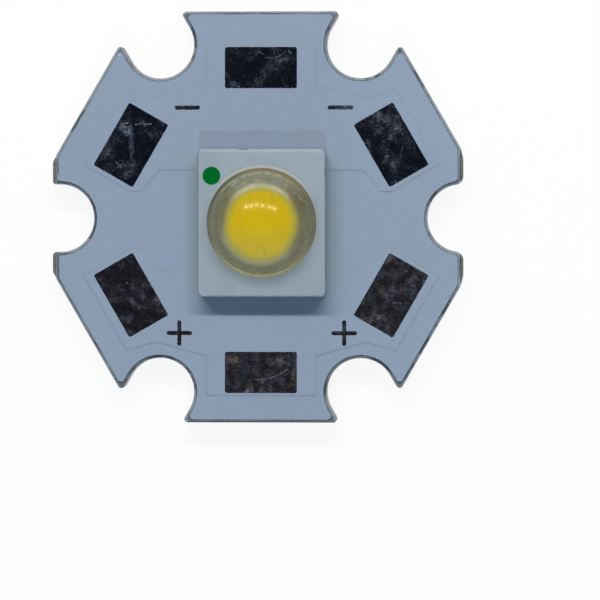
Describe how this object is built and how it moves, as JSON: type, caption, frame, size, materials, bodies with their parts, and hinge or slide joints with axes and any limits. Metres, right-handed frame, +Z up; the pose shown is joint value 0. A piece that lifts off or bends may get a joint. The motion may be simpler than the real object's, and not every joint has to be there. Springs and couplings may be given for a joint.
{
  "type": "led module",
  "caption": "Six-lobed star circuit board on an aluminium core with tinned wire pads, open screw notches and one ceramic LED under a clear dome.",
  "frame": {"origin": "middle of the board's underside", "axes": "+Z up through the dome, +X towards the picture's right, +Y towards the edge with the two minus signs"},
  "size_m": [0.02, 0.02, 0.0054],
  "materials": {
    "core_aluminium": "satin",
    "insulation": "matte",
    "copper_foil": "satin",
    "mask_white": "satin",
    "tin_coat": "polished",
    "solder": "satin",
    "contact_metal": "satin",
    "ceramic_white": "matte",
    "film_metal": "satin",
    "chip_crystal": "gloss",
    "wire_gold": "gloss",
    "dam_silicone": "satin",
    "phosphor_yellow": "matte",
    "dome_silicone": "gloss",
    "dot_green": "matte"
  },
  "bodies": {
    "root": {"aluminium_core": "core_aluminium", "insulation_layer": "insulation", "copper_minus": "copper_foil", "copper_plus": "copper_foil", "heat_spreader": "copper_foil", "solder_mask": "mask_white", "pad_minus_left": "tin_coat", "pad_minus_middle": "tin_coat", "pad_minus_right": "tin_coat", "pad_plus_left": "tin_coat", "pad_plus_middle": "tin_coat", "pad_plus_right": "tin_coat", "sign_minus_left": "tin_coat", "sign_minus_right": "tin_coat", "sign_plus_left": "tin_coat", "sign_plus_right": "tin_coat", "solder_minus": "solder", "solder_plus": "solder", "solder_heat": "solder", "contact_minus": "contact_metal", "contact_plus": "contact_metal", "contact_heat": "contact_metal", "ceramic_base": "ceramic_white", "vias_minus": "contact_metal", "vias_plus": "contact_metal", "film_minus": "film_metal", "film_plus": "film_metal", "chip_film": "film_metal", "chip_bond": "solder", "led_chip": "chip_crystal", "bond_wires": "wire_gold", "dam_ring": "dam_silicone", "phosphor": "phosphor_yellow", "dome_lens": "dome_silicone", "polarity_dot": "dot_green"}
  },
  "joints": []
}
